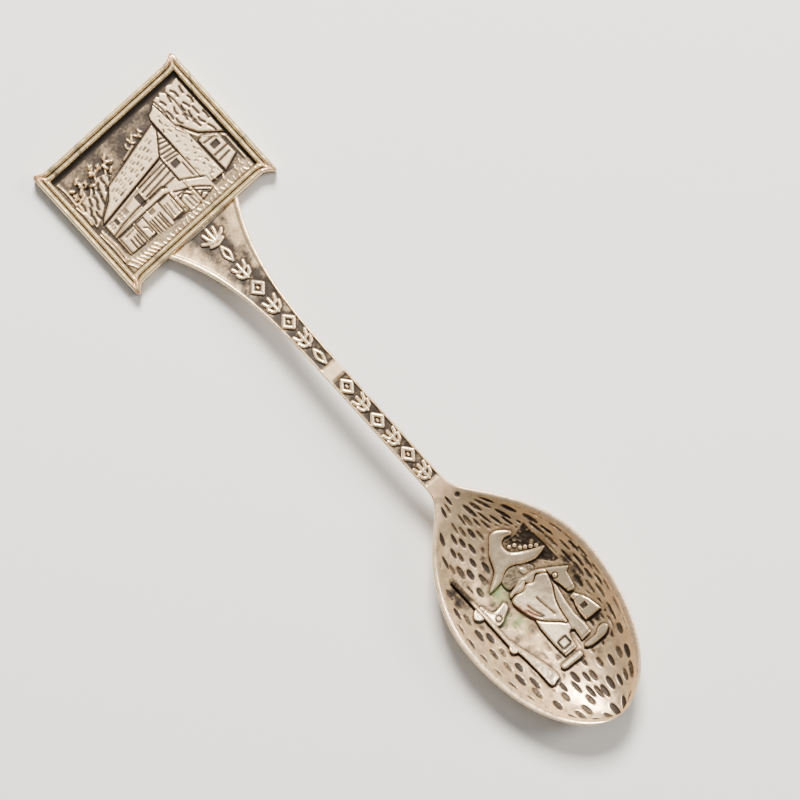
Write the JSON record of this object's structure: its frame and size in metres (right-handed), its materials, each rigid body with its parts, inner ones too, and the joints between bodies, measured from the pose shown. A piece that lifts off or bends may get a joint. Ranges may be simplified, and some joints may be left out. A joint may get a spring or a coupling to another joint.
{
  "type": "souvenir spoon",
  "caption": "Small antiqued metal souvenir spoon: deep oval bowl with an applied figure, ornamented stem and framed relief plaque",
  "frame": {"origin": "middle of the footprint, on the surface that the spoon lies on", "axes": "+Y from the bowl to the plaque, +Z out of the bowl's mouth, +X to the right with the plaque at the top"},
  "size_m": [0.0242, 0.1019, 0.0065],
  "materials": {
    "cast_metal": "warm silver plate, antiqued dark in the hammered pits and worn bright on the rim",
    "relief_metal": "warm silver plate, bright on the raised tops with dark outlines",
    "frame_metal": "warm silver plate with a yellowish tinge, copper showing on the worn ears",
    "scene_metal": "silver plate, heavily antiqued in the recesses",
    "back_metal": "dull satin silver plate",
    "solder": "dull grey soft solder"
  },
  "bodies": {
    "root": {"spoon_blank": "cast_metal", "bowl_figure": "relief_metal", "stem_ornament": "relief_metal", "solder_seam": "solder", "frame_top_rail": "frame_metal", "frame_bottom_rail": "frame_metal", "frame_left_stile": "frame_metal", "frame_right_stile": "frame_metal", "scene_plate": "scene_metal", "back_plate": "back_metal"}
  },
  "joints": []
}
